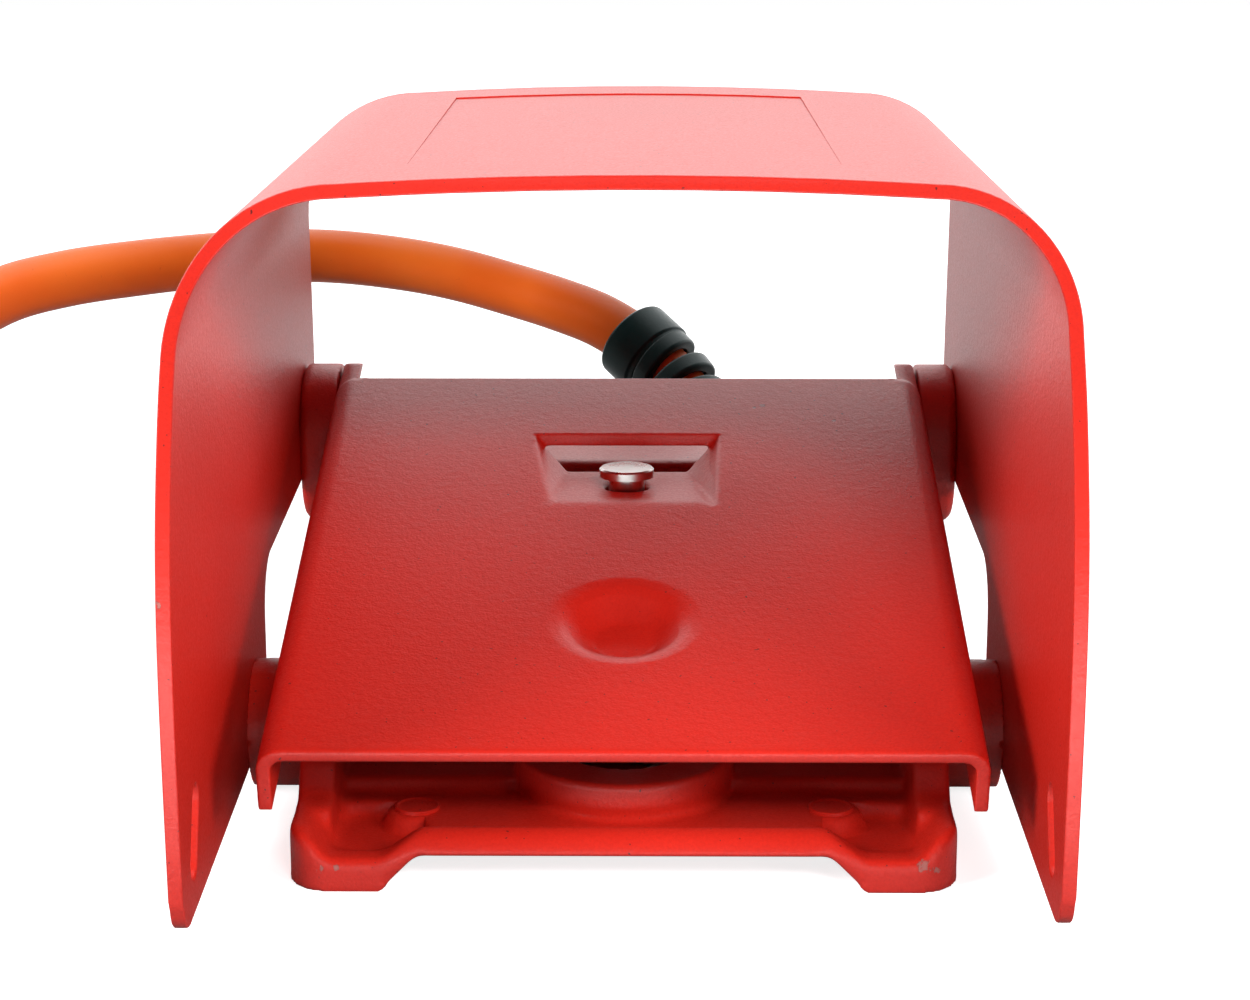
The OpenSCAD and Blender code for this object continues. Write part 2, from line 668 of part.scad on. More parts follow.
module pedal() {
  ear_len = (pivot_y - plate_rear_y + 30) / cos(pedal_slope);
  dimple_l = (dimple_y - plate_front_y) / cos(pedal_slope);
  color(paint_red) difference() {
    union() {
      intersection() {
        on_pedal() rotate([90, 0, 0]) translate([0, 0, -plate_len - ear_len])
          linear_extrude(plate_len + ear_len) difference() {
            pedal_section(0);
            pedal_section(pedal_t);
          }
        side_extrude(-hood_w, hood_w) pedal_outline();
      }
      intersection() {
        on_pedal() translate([0, dimple_l, 0]) dimple(pedal_t, 1.1);
        on_pedal() translate([-20, dimple_l - 20, -20]) cube([40, 40, 20]);
      }
      pocket_outside();
    }
    // the plate stops short of the ears, with rounded inside corners
    on_pedal() {
      w = pedal_w / 2 - pedal_r;
      translate([-w, plate_len + 3, -pedal_r]) cube([2 * w, 60, 2 * pedal_r]);
      translate([-w + 3, plate_len, -pedal_r]) cube([2 * w - 6, 60, 2 * pedal_r]);
      for (s = [-1, 1]) translate([s * (w - 3), plate_len + 3, -pedal_r]) cylinder(r = 3, h = 2 * pedal_r);
      translate([0, dimple_l, 0]) dimple(0, 0);
    }
    pocket_inside();
    translate([0, release_y, pocket_z - 10]) cylinder(d = release_d + 1.6, h = 20);
    x_rod(-hood_w, hood_w, pivot_d / 2 + 1 + fit, pivot_y, pivot_z);
  }
}

// ---------- spring cup ----------

module spring_seat() {
  color(steel) translate([0, cup_y, cup_floor_z]) difference() {
    cylinder(r = cup_bore_r - 0.2, h = 1.5);
    translate([0, 0, -1]) cylinder(r = 4, h = 4);
  }
}

module pedal_spring() {
  depth = dimple_deep + pedal_t + 1.25;
  l = (dimple_y - plate_front_y) / cos(pedal_slope);
  top_y = plate_front_y + l * cos(pedal_slope) + depth * sin(pedal_slope);
  top_z = pedal_front_z + l * sin(pedal_slope) - depth * cos(pedal_slope);
  color(steel) translate([0, cup_y, 0])
    helix(9.4, 1.1, cup_floor_z + 1.55, top_z + 1.1, 6, 16, 6, top_y - cup_y, pedal_slope);
}

// ---------- actuating plunger and contact block ----------

module plunger_guide() {
  color(brass) translate([plunger_x, plunger_y, 0]) difference() {
    union() {
      translate([0, 0, chamber_top]) cylinder(r = bush_r, h = deck_z + 3 - chamber_top);
      translate([0, 0, deck_z + 3]) cylinder(r = bush_r + 2, h = 2);
    }
    cylinder(r = plunger_r + fit, h = 80);
  }
}

module plunger_seal() {
  color(black) translate([plunger_x, plunger_y, deck_z + 5]) difference() {
    rotate_extrude() polygon([[plunger_r + fit, 0], [9, 0], [9, 1.5], [6.4, 5], [plunger_r + fit, 5]]);
    translate([0, 0, -1]) cylinder(r = plunger_r + fit, h = 10);
  }
}

module plunger() {
  flange_z = chamber_top - seat - 2;
  color(steel) translate([plunger_x, plunger_y, 0]) {
    translate([0, 0, 30]) cylinder(r = plunger_r, h = plunger_dome_z - 30);
    translate([0, 0, plunger_dome_z]) intersection() {
      sphere(r = plunger_r);
      translate([0, 0, -eps]) cylinder(r = plunger_r, h = plunger_r + 1);
    }
    translate([0, 0, flange_z]) cylinder(r = plunger_r + 1.8, h = 2);
  }
}

module contact_block() {
  w = 24;
  color("#2b2f33") translate([plunger_x, 0, 0]) difference() {
    union() {
      translate([-w, block_y0, block_z]) cube([2 * w, block_y1 - block_y0, chamber_top - block_z]);
      // terminal barriers
      for (x = [-24:12:24]) translate([x - 1, block_y0 - 5, block_z])
        cube([2, 5.01, 12]);
      translate([-w, block_y0 - 5, block_z]) cube([2 * w, 5.01, 3]);
    }
    translate([0, plunger_y, chamber_top - 8]) cylinder(r = plunger_r + 2.4, h = 10);
    translate([0, plunger_y, block_z + 6]) cylinder(r = plunger_r + 0.4, h = 40);
    mirror_x() translate([block_screw_x, block_screw_y, 0]) cylinder(r = 2.2, h = 60);
    mirror_x() translate([block_screw_x, block_screw_y, 0]) cylinder(r = 4, h = block_z + 4);
    for (x = [-18:12:18]) translate([x, block_y0, block_z + 7.5]) rotate([-90, 0, 0])
      cylinder(r = 1.5 + fit, h = 6);
  }
}

module contact_block_screws() {
  color(steel) translate([plunger_x, 0, 0]) mirror_x()
    translate([block_screw_x, block_screw_y, block_z + 4]) rotate([180, 0, 0])
    socket_screw(4, chamber_top - block_z - 4 + 2.5, 7, 2.5, 2.5);
}

module terminal_screws() {
  color(brass) for (x = [-18:12:18]) translate([plunger_x + x, block_y0, block_z + 7.5])
    rotate([90, 0, 0])
    difference() {
      union() {
        cylinder(r = 3, h = 2);
        translate([0, 0, -5]) cylinder(r = 1.5, h = 5.01);
      }
      translate([-5, -0.4, 1.2]) cube([10, 0.8, 2]);
    }
}

// ---------- release pin and latch ----------

module release_guide() {
  color(brass) translate([0, release_y, 0]) difference() {
    union() {
      translate([0, 0, keeper_z]) cylinder(r = guide_r, h = deck_z + 1 - keeper_z);
      translate([0, 0, deck_z + 1]) cylinder(r = guide_r + 1.5, h = 1);
    }
    cylinder(d = release_d + 2 * fit, h = 80);
  }
}

module release_pin() {
  flange_z = keeper_z - seat - 1.5;
  color(steel) translate([0, release_y, 0]) {
    translate([0, 0, release_top_z - release_head_t])
      cylinder(d = release_head_d, h = release_head_t - 0.4);
    translate([0, 0, release_top_z - 0.4])
      cylinder(d1 = release_head_d, d2 = release_head_d - 0.8, h = 0.4);
    translate([0, 0, flange_z]) cylinder(d = release_d, h = release_top_z - release_head_t - flange_z + eps);
    translate([0, 0, flange_z]) cylinder(r = release_d / 2 + 1.4, h = 1.5);
    translate([0, 0, point_z + 2.6]) cylinder(r = 2.5, h = flange_z - point_z - 2.6 + eps);
    translate([0, 0, point_z]) cylinder(r1 = 0.55, r2 = 2.5, h = 2.6 + eps);
  }
}

module release_spring() {
  color(steel) translate([0, release_y, 0])
    helix(3.8, 0.5, keeper_floor_z + 2.02, keeper_z - seat - 1.52, 7, 14);
}

// Bent strap under the deck that guides the release pin's stem and the latch slide
module latch_keeper() {
  w = 15;
  y0 = release_y - 9;
  color(steel) difference() {
    union() {
      translate([-w, y0, keeper_z]) cube([2 * w, 18, chamber_top - keeper_z]);
      translate([-w, y0, keeper_floor_z]) cube([2 * w, 18, 2]);
      mirror_x() translate([w - 1.5, y0, keeper_floor_z - 5]) cube([1.5, 18, keeper_z - keeper_floor_z + 6]);
    }
    translate([0, release_y, 0]) cylinder(r = 2.5 + 0.1, h = 30);
    translate([0, release_y, 30]) cylinder(r = guide_r + fit, h = 30);
  }
}

// Slide that the release pin's point wedges towards the front, out of the latched position
module latch_slide() {
  color(steel) difference() {
    union() {
      translate([-13.2, release_y - 10, slide_z]) cube([26.4, 20, 3]);
      translate([0, release_y - 10 + eps, slide_z + 1.5]) rotate([90, 0, 0]) cylinder(r = 1.5, h = 3);
    }
    translate([-2.9, release_y - 1.1, slide_z - 1]) cube([5.8, 5.3, 6]);
    mirror_x() translate([8.5, release_y + 6.5, slide_z - 1]) cube([10, 10, 6]);
  }
}

module latch_spring() {
  color(steel) translate([0, chamber_y0, slide_z + 1.5]) rotate([-90, 0, 0])
    helix(2.2, 0.4, 0.05, release_y - 10 - chamber_y0 - 0.05, 6, 12);
}

module earth_screw() {
  color(brass) translate([earth_x, chamber_y0, earth_z]) rotate([-90, 0, 0]) {
    cylinder(r = 4.5, h = 0.8);
    translate([0, 0, -3.5]) cylinder(r = 2, h = 3.6);
    translate([0, 0, 0.8]) difference() {
      cylinder(r = 3.6, h = 2.4);
      translate([-5, -0.5, 1.4]) cube([10, 1, 2]);
    }
  }
}

// ---------- gland, cable and connector ----------

module hex_y(y0, y1, flats, x = gland_x, z = gland_z) {
  translate([x, y0, z]) rotate([-90, 0, 0]) cylinder(d = flats / cos(30), h = y1 - y0, $fn = 6);
}

module gland_bore(y0, y1, r = gland_bore_r) {
  y_rod(y0, y1, r, gland_x, gland_z);
}

module gland_body() {
  color(gland_green) difference() {
    union() {
      y_rod(base_rear_y - 9.5, base_rear_y + 1.5 + eps, thread_r, gland_x, gland_z);
      intersection() {
        hex_y(base_rear_y + 1.5, gland_nut_y, gland_hex);
        y_rod(base_rear_y, gland_nut_y, gland_hex / 2 + 1, gland_x, gland_z);
      }
    }
    gland_bore(base_rear_y - 20, base_rear_y + 20);
  }
}

// Flat sealing ring between the gland's hexagon and the casting
module gland_washer() {
  color(black) difference() {
    y_rod(base_rear_y, base_rear_y + 1.5, gland_hex / 2, gland_x, gland_z);
    y_rod(base_rear_y - 1, base_rear_y + 2, thread_r + fit, gland_x, gland_z);
  }
}

module gland_seal() {
  color(black) difference() {
    y_rod(gland_nut_y, gland_end_y - 8, cable_r + 2, gland_x, gland_z);
    gland_bore(base_rear_y, gland_end_y + 5, cable_r + fit);
  }
}

// Strip with rounded shoulders wound round the cable's axis: the bend-protection spiral
module bend_spiral(turns, per) {
  whole = curve(cable_pts, per);
  path = [for (i = [spiral_from * per:spiral_to * per]) whole[i]];
  n = len(path) - 1;
  r0 = cable_r + 0.8;
  r1 = cable_r + 3.3;
  half = 2.7;
  section = [[r0, -half], [r1 - 1, -half], [r1, -half + 1], [r1, half - 1], [r1 - 1, half], [r0, half]];
  pts = [for (i = [0:n])
    let (t = tangent(path, i), u = unit(cross3([0.15, -0.25, 1], t)), v = cross3(t, u),
         a = 360 * turns * i / n + 40, d = cos(a) * u + sin(a) * v)
    for (q = section) path[i] + q[0] * d + q[1] * t];
  walls = [for (i = [0:n - 1]) for (k = [0:5]) let (k1 = (k + 1) % 6, a = 6 * i, b = 6 * (i + 1))
    each [[a + k, b + k, b + k1], [a + k, b + k1, a + k1]]];
  first = [[5, 4, 3], [5, 3, 2], [5, 2, 1], [5, 1, 0]];
  last = [for (f = first) [6 * n + f[2], 6 * n + f[1], 6 * n + f[0]]];
  polyhedron(pts, concat(first, walls, last));
}

// Places a shape drawn along Z at a point of the route, along direction d
module along(p, d) {
  u = unit(d);
  translate(p) rotate([0, acos(u[2]), atan2(u[1], u[0])]) children();
}

module gland_nut() {
  whole = curve(cable_pts, 8);
  collar = 8 * spiral_to;
  nut_y = gland_nut_y;
  color(gland_green) {
    difference() {
      union() {
        intersection() {
          hex_y(nut_y, nut_y + 6, gland_hex);
          y_rod(nut_y, nut_y + 6, gland_hex / 2 + 1, gland_x, gland_z);
        }
        translate([gland_x, nut_y + 6 - eps, gland_z]) rotate([-90, 0, 0]) rotate_extrude()
          polygon([[0, 0], [gland_hex / 2 - 0.2, 0], [gland_hex / 2 - 0.5, 1.6],
            [gland_hex / 2 - 1.2, 3], [cable_r + 3, 4], [0, 4]]);
      }
      gland_bore(nut_y - 1, gland_end_y - 6, cable_r + 2 + fit);
      gland_bore(nut_y - 1, gland_end_y + 5);
      gland_bore(gland_end_y - 3, gland_end_y + 5, cable_r + 0.9);
    }
    bend_spiral(9.2, 36);
    along(whole[collar], tangent(whole, collar)) difference() {
      translate([0, 0, -3.5]) rotate_extrude() polygon([[0, 0], [cable_r + 3.3, 0], [cable_r + 3.3, 1.6],
        [cable_r + 3.8, 2], [cable_r + 3.8, 11.4], [cable_r + 3.2, 12], [0, 12]]);
      translate([0, 0, -6]) cylinder(r = cable_r + 0.9, h = 20);
    }
  }
}

module cable_run() {
  color(cable_orange) tube(curve(cable_pts, 2), cable_r, 10);
}

// The put-away length, as one ring with the outline of its bundle of turns
module cable_coil() {
  r0 = coil_mid_r - cable_d;
  r1 = coil_mid_r + cable_d;
  h = 2 * cable_d;
  color(cable_orange) translate([coil_x, coil_y, 0]) rotate_extrude($fn = 96)
    polygon([[r0 + 4, 0], [r1 - 4, 0], [r1 - 1.2, 1.2], [r1, 4], [r1, h - 4], [r1 - 1.2, h - 1.2],
      [r1 - 4, h], [r0 + 4, h], [r0 + 1.2, h - 1.2], [r0, h - 4], [r0, 4], [r0 + 1.2, 1.2]]);
}

module cable_tail() {
  color(cable_orange) tube(curve(tail_pts, 2), cable_r, 10);
}

module connector_revolve(points) {
  translate([tail_x, connector_y, connector_z]) rotate([-90, 0, 0]) rotate_extrude() polygon(points);
}

module connector_body() {
  r = connector_r;
  color(steel) difference() {
    connector_revolve([[0, 0], [r - 3, 0], [r - 2, 1], [r - 2, 9], [r - 1, 10], [r - 1, 34],
      [r - 2.5, 35], [r - 2.5, 52], [0, 52]]);
    translate([tail_x, connector_y - 1, connector_z]) rotate([-90, 0, 0]) cylinder(r = cable_r + fit, h = 13);
    translate([tail_x, connector_y + 38, connector_z]) rotate([-90, 0, 0]) cylinder(r = r - 4, h = 20);
  }
}

module connector_ring() {
  r = connector_r;
  color(steel) difference() {
    connector_revolve([[r - 2.5 + fit, 37], [r - 0.5, 37], [r, 37.5], [r, 49.5], [r - 0.5, 50],
      [r - 2.5 + fit, 50]]);
    for (a = [0:15:345]) translate([tail_x, connector_y + 39, connector_z]) rotate([-90, 0, 0])
      rotate([0, 0, a]) translate([r + 0.3, 0, 0]) cylinder(r = 0.8, h = 9);
  }
}

module connector_insert() {
  r = connector_r - 4 - fit;
  color(black) translate([tail_x, connector_y + 38, connector_z]) rotate([-90, 0, 0]) {
    cylinder(r = r, h = 3);
    for (a = [0:45:315]) rotate([0, 0, a]) translate([6, 0, 3 - eps]) cylinder(r = 0.8, h = 7);
    translate([0, 0, 3 - eps]) cylinder(r = 1.2, h = 7);
  }
}

base_housing();
bottom_cover();
cover_gasket();
cover_screws();
floor_hole_plugs();
hood();
hood_screws_rear();
hood_screws_front();
hood_washers();
pivot_pins();
spring_seat();
pedal_spring();
plunger_guide();
plunger_seal();
contact_block();
contact_block_screws();
terminal_screws();
release_guide();
release_spring();
latch_spring();
latch_keeper();
earth_screw();
gland_body();
gland_washer();
gland_seal();
gland_nut();
cable_run();
cable_coil();
cable_tail();
connector_body();
connector_ring();
connector_insert();
pedal();
pivot_bushes();
plunger();
release_pin();
latch_slide();
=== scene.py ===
import math

import bmesh
import bpy
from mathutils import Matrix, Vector, noise


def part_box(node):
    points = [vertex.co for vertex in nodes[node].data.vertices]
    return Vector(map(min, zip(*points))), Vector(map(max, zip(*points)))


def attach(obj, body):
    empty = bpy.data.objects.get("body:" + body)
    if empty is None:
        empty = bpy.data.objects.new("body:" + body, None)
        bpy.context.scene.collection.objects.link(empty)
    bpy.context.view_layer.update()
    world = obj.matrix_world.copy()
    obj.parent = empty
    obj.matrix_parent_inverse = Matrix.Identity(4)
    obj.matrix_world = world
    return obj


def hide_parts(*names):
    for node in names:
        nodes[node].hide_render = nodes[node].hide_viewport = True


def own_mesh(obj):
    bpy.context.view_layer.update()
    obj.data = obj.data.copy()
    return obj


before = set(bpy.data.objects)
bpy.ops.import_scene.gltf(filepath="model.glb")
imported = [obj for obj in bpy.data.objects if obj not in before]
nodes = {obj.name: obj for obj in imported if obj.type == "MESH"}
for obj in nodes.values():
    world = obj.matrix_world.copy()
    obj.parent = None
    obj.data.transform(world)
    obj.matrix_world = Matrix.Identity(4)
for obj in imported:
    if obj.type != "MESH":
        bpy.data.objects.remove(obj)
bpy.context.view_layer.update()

MM = 0.001
SPLIT = 0.002 * MM  # the CAD mesh's split corners lie closer together than this
HALF_WAY = 0.5  # how far a round of smoothing moves a vertex to its neighbours' middle
TURNED_SIDES = 96  # of the collar, the dome and the nut
scene = bpy.context.scene

# ---------------------------------------------------------------- camera

camera_data = bpy.data.cameras.new("camera")
camera_data.sensor_width = 36.0
camera_data.lens = 74.88
camera = bpy.data.objects.new("camera", camera_data)
camera.location = (0.00394, -0.53445, 0.1917)
camera.rotation_euler = (math.radians(90 - 13.85), 0.0, math.radians(0.44))
scene.collection.objects.link(camera)
scene.camera = camera

# ---------------------------------------------------------------- mesh helpers


def straight(value, low, high):
    """0 below low, 1 above high, a straight line between."""
    return max(min((value - low) / (high - low), 1), 0)


def ramp(value, low, high):
    """0 below low, 1 above high, eased between."""
    t = straight(value, low, high)
    return t * t * (3 - 2 * t)


def new_object(name, verts, faces, smooth=True):
    mesh = bpy.data.meshes.new(name)
    mesh.from_pydata([tuple(v) for v in verts], [], faces)
    mesh.validate()
    obj = bpy.data.objects.new(name, mesh)
    scene.collection.objects.link(obj)
    if smooth:
        mesh.shade_smooth()
    return obj


def catmull(points, per):
    """Points of a smooth curve through the given ones, per steps for each span."""
    pts = [Vector(p) for p in points]
    out = []
    for i in range(len(pts) - 1):
        p0 = pts[i - 1] if i else 2 * pts[0] - pts[1]
        p1, p2 = pts[i], pts[i + 1]
        p3 = pts[i + 2] if i + 2 < len(pts) else 2 * pts[-1] - pts[-2]
        for k in range(per):
            t = k / per
            out.append(
                0.5
                * (
                    2 * p1
                    + (p2 - p0) * t
                    + (2 * p0 - 5 * p1 + 4 * p2 - p3) * t * t
                    + (3 * p1 - p0 - 3 * p2 + p3) * t * t * t
                )
            )
    out.append(pts[-1])
    return out


def evenly(points, step):
    """The same line with its points a constant step apart."""
    out = [points[0].copy()]
    left = step
    for a, b in zip(points, points[1:]):
        length = (b - a).length
        done = 0.0
        while length - done >= left:
            done += left
            out.append(a.lerp(b, done / length))
            left = step
        left -= length - done
    if (out[-1] - points[-1]).length > step * 0.3:
        out.append(points[-1].copy())
    return out


def frames_along(line):
    """A tangent and two sides for each point, turned as little as possible."""
    tangents = []
    for i in range(len(line)):
        a, b = line[max(i - 1, 0)], line[min(i + 1, len(line) - 1)]
        tangents.append((b - a).normalized())
    side = tangents[0].orthogonal().normalized()
    out = []
    for t in tangents:
        side = (side - t * side.dot(t)).normalized()
        out.append((t, side, t.cross(side)))
    return out


def swept_tube(name, line, radius, sides):
    """A closed tube; radius(along, angle) gives it in metres, with along in metres too."""
    verts, faces = [], []
    along = 0.0
    for i, (p, (t, u, v)) in enumerate(zip(line, frames_along(line))):
        if i:
            along += (p - line[i - 1]).length
        for k in range(sides):
            a = 2 * math.pi * k / sides
            verts.append(p + radius(along, a) * (math.cos(a) * u + math.sin(a) * v))
    for i in range(len(line) - 1):
        for k in range(sides):
            a, b = i * sides + k, i * sides + (k + 1) % sides
            faces.append((a, b, b + sides, a + sides))
    faces.append(tuple(range(sides - 1, -1, -1)))
    last = (len(line) - 1) * sides
    faces.append(tuple(range(last, last + sides)))
    return new_object(name, verts, faces)


# ---------------------------------------------------------------- cable

CABLE_R, CABLE_SIDES = 7.25, 40
# the cable's middle line from inside the gland to the floor, in mm
ROUTE = [
    (24, 68, 33), (24, 76, 33), (24, 82, 33), (24, 87.5, 33), (23.6, 104.8, 35.1),
    (22.1, 119.7, 40.6), (18.6, 132.5, 48.1), (12.5, 143.5, 56.5), (3, 153, 64.5),
    (-7.1, 159.7, 70), (-18.7, 165.7, 73.6), (-31.3, 171, 76.7), (-47.5, 175, 80.6),
    (-63.7, 175.9, 83.5), (-82.8, 172.3, 86.1), (-100.7, 163.9, 87.3), (-115.5, 153.1, 87.6),
    (-130.2, 141.2, 87.4), (-145, 127.8, 86.7), (-158, 114, 84.5), (-168, 99.5, 78.6),
    (-176, 84, 69), (-182, 68.5, 57), (-187, 52, 43.8), (-190.5, 35.5, 30.8),
    (-192.4, 19, 19.85), (-193, 3, 12.3), (-193, -13, 8.45), (-193, -28, 7.25),
]
COIL_MID = 5.1 * 2 * CABLE_R
COIL_X = ROUTE[-1][0] - COIL_MID - CABLE_R
COIL_Y = -28.0
TAIL_X = COIL_X - COIL_MID - CABLE_R
CONNECTOR_Y, CONNECTOR_Z = 34.0, 13.5
OUTER, INNER = COIL_MID + CABLE_R, COIL_MID - CABLE_R
LOW, HIGH = CABLE_R, 3 * CABLE_R
# degrees round the coil, and the strand's radius and height there; it eases between rows
WINDING = [
    (0, OUTER, LOW), (255, OUTER, LOW), (375, INNER, LOW), (585, INNER, LOW),
    (675, INNER, HIGH), (885, INNER, HIGH), (1005, OUTER, HIGH), (1260, OUTER, HIGH),
]
TAIL = [
    (TAIL_X, COIL_Y, HIGH), (TAIL_X, -14, HIGH - 0.5), (TAIL_X, 0, CONNECTOR_Z + 4.9),
    (TAIL_X, 15, CONNECTOR_Z + 1.4), (TAIL_X, 26, CONNECTOR_Z + 0.2),
    (TAIL_X, CONNECTOR_Y + 0.5, CONNECTOR_Z), (TAIL_X, CONNECTOR_Y + 11, CONNECTOR_Z),
]


def winding_points():
    """The coil's middle line, one point every ten degrees."""
    out = []
    for (a0, r0, z0), (a1, r1, z1) in zip(WINDING, WINDING[1:]):
        for a in range(a0, a1, 10):
            t = ramp(a, a0, a1)
            r, z, turn = r0 + (r1 - r0) * t, z0 + (z1 - z0) * t, math.radians(a)
            out.append((COIL_X + r * math.cos(turn), COIL_Y - r * math.sin(turn), z))
    return out


route = ROUTE[:-1] + winding_points() + TAIL
cable_line = evenly([p * MM for p in catmull(route, 8)], 2.0 * MM)
CORE_PITCH = 0.42


def cable_radius(along, angle):
    """The twisted cores show through the sheath as shallow ridges of a long pitch."""
    twist = angle - along * 2 * math.pi / CORE_PITCH
    ridges = 0.11 * math.cos(3 * twist) + 0.06 * math.cos(5 * twist + 1.3)
    slow = 0.05 * noise.noise(Vector((along * 22, math.cos(angle), math.sin(angle))))
    return (CABLE_R + ridges + slow) * MM


cable = swept_tube("cable", cable_line, cable_radius, CABLE_SIDES)
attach(cable, "base")
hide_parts("cable_run", "cable_coil", "cable_tail")

# ---------------------------------------------------------------- materials


class Net:
    """A material's node tree, with its Principled shader and its object coordinates."""

    def __init__(self, name):
        self.material = bpy.data.materials.new(name)
        self.material.use_nodes = True
        self.tree = self.material.node_tree
        self.shader = self.tree.nodes["Principled BSDF"]
        self.place = self.add("ShaderNodeTexCoord").outputs["Object"]

    def add(self, kind, **settings):
        """A new node of this kind."""
        node = self.tree.nodes.new(kind)
        for key, value in settings.items():
            setattr(node, key, value)
        return node

    def put(self, socket, value):
        """Links a socket to this one, or sets a constant on it."""
        if isinstance(value, bpy.types.NodeSocket):
            self.tree.links.new(value, socket)
        elif value is not None:
            socket.default_value = value

    def set(self, **inputs):
        """Sets the shader's inputs, with _ for the blanks in their names."""
        for key, value in inputs.items():
            self.put(self.shader.inputs[key.replace("_", " ")], value)

    def stretched(self, scale):
        node = self.add("ShaderNodeMapping")
        self.put(node.inputs["Vector"], self.place)
        node.inputs["Scale"].default_value = scale
        return node.outputs["Vector"]

    def noise(self, scale, detail=2.0, rough=0.5, vector=None, warp=0.0):
        node = self.add("ShaderNodeTexNoise")
        self.put(node.inputs["Vector"], vector or self.place)
        node.inputs["Scale"].default_value = scale
        node.inputs["Detail"].default_value = detail
        node.inputs["Roughness"].default_value = rough
        node.inputs["Distortion"].default_value = warp
        return node.outputs["Fac"]

    def fit(self, value, low, high, to_low=0.0, to_high=1.0):
        """The value eased from the first range into the second."""
        node = self.add("ShaderNodeMapRange", interpolation_type="SMOOTHSTEP")
        self.put(node.inputs["Value"], value)
        for key, number in zip(
            ("From Min", "From Max", "To Min", "To Max"), (low, high, to_low, to_high)
        ):
            node.inputs[key].default_value = number
        return node.outputs["Result"]

    def maths(self, kind, a, b):
        node = self.add("ShaderNodeMath", operation=kind)
        self.put(node.inputs[0], a)
        self.put(node.inputs[1], b)
        return node.outputs[0]

    def mix(self, amount, a, b):
        node = self.add("ShaderNodeMix", data_type="RGBA")
        self.put(node.inputs[0], amount)
        for socket, value in ((node.inputs[6], a), (node.inputs[7], b)):
            self.put(socket, (*value, 1.0) if isinstance(value, tuple) else value)
        return node.outputs[2]

    def bump(self, height, depth, strength=1.0, under=None):
        node = self.add("ShaderNodeBump")
        node.inputs["Strength"].default_value = strength
        node.inputs["Distance"].default_value = depth
        self.put(node.inputs["Height"], height)
        self.put(node.inputs["Normal"], under)
        return node.outputs["Normal"]

    def spots(self, places):
        """1 inside ragged round spots at (x, y, z, radius), in mm."""
        ragged = self.fit(self.noise(900, 4.0, 0.65), 0.3, 0.7, 0.35, 1.5)
        found = None
        for x, y, z, radius in places:
            node = self.add("ShaderNodeVectorMath", operation="DISTANCE")
            self.put(node.inputs[0], self.place)
            node.inputs[1].default_value = (x * MM, y * MM, z * MM)
            far = self.maths("DIVIDE", node.outputs["Value"], ragged)
            spot = self.fit(far, radius * MM * 0.9, radius * MM * 1.05, 1.0, 0.0)
            found = spot if found is None else self.maths("MAXIMUM", found, spot)
        return found


def red_paint():
    """Sprayed structure paint: fine grain, faint orange peel, dark specks and worn places."""
    net = Net("red_paint")
    cloud = net.noise(14, 3.0)
    grain = net.noise(1900, 2.0, 0.6)
    peel = net.noise(620, 2.0, 0.45)
    speck = net.fit(net.noise(1150, 1.0, 0.4), 0.765, 0.785)
    deep_red, light_red = (0.60, 0.019, 0.0095), (0.65, 0.023, 0.0125)
    pit_red, speck_dark, worn_pink = (0.42, 0.006, 0.006), (0.10, 0.012, 0.012), (0.34, 0.17, 0.15)
    colour = net.mix(net.fit(cloud, 0.3, 0.7), deep_red, light_red)
    colour = net.mix(net.fit(grain, 0.3, 0.75, 0.0, 0.35), colour, pit_red)
    colour = net.mix(speck, colour, speck_dark)
    chips = net.spots(CHIPS)
    colour = net.mix(net.maths("MULTIPLY", chips, 0.7), colour, worn_pink)
    rough = net.fit(grain, 0.2, 0.8, 0.38, 0.50)
    net.set(Base_Color=colour, Roughness=rough, IOR=1.85)
    fine = net.bump(grain, 0.00010, 0.7)
    wavy = net.bump(peel, 0.00022, 0.4, fine)
    net.set(Normal=net.bump(net.maths("SUBTRACT", 1.0, chips), 0.00012, 1.0, wavy))
    return net.material


def bare_metal(name, tint, rough):
    """Zinc plate, spring steel or bronze, a little clouded, with fine upright lines."""
    net = Net(name)
    cloud = net.noise(160, 4.0, 0.6)
    lines = net.noise(900, 2.0, 0.5, net.stretched((1.0, 1.0, 0.12)))
    colour = net.mix(net.fit(cloud, 0.3, 0.75), tint, tuple(c * 0.78 for c in tint))
    net.set(Base_Color=colour, Metallic=1.0)
    net.set(Roughness=net.fit(cloud, 0.25, 0.8, rough, rough + 0.14))
    net.set(Normal=net.bump(lines, 0.00004, 0.5))
    return net.material


def matt(name, light, dark, rough, depth=0.00006, specular=0.5):
    """A moulded or rubber surface with a fine grain."""
    net = Net(name)
    cloud = net.noise(60, 4.0, 0.6)
    grain = net.noise(1400, 3.0, 0.6)
    net.set(Base_Color=net.mix(net.fit(cloud, 0.3, 0.75), light, dark))
    net.set(Roughness=net.fit(grain, 0.25, 0.8, rough - 0.05, rough + 0.09))
    net.set(Specular_IOR_Level=specular, Normal=net.bump(grain, depth, 0.6))
    return net.material


def sheath():
    """The orange sheath, with a few faint marks."""
    net = Net("cable_sheath")
    cloud = net.noise(30, 3.0)
    grain = net.noise(1500, 2.0, 0.6)
    marks = net.fit(net.noise(420, 5.0, 0.7, warp=0.4), 0.66, 0.72, 0.0, 0.35)
    colour = net.mix(net.fit(cloud, 0.3, 0.7), (0.90, 0.145, 0.012), (0.96, 0.185, 0.02))
    net.set(Base_Color=net.mix(marks, colour, (0.62, 0.09, 0.012)))
    net.set(Roughness=net.fit(grain, 0.25, 0.8, 0.40, 0.52))
    net.set(Specular_IOR_Level=0.5, Normal=net.bump(grain, 0.00005, 0.5))
    return net.material


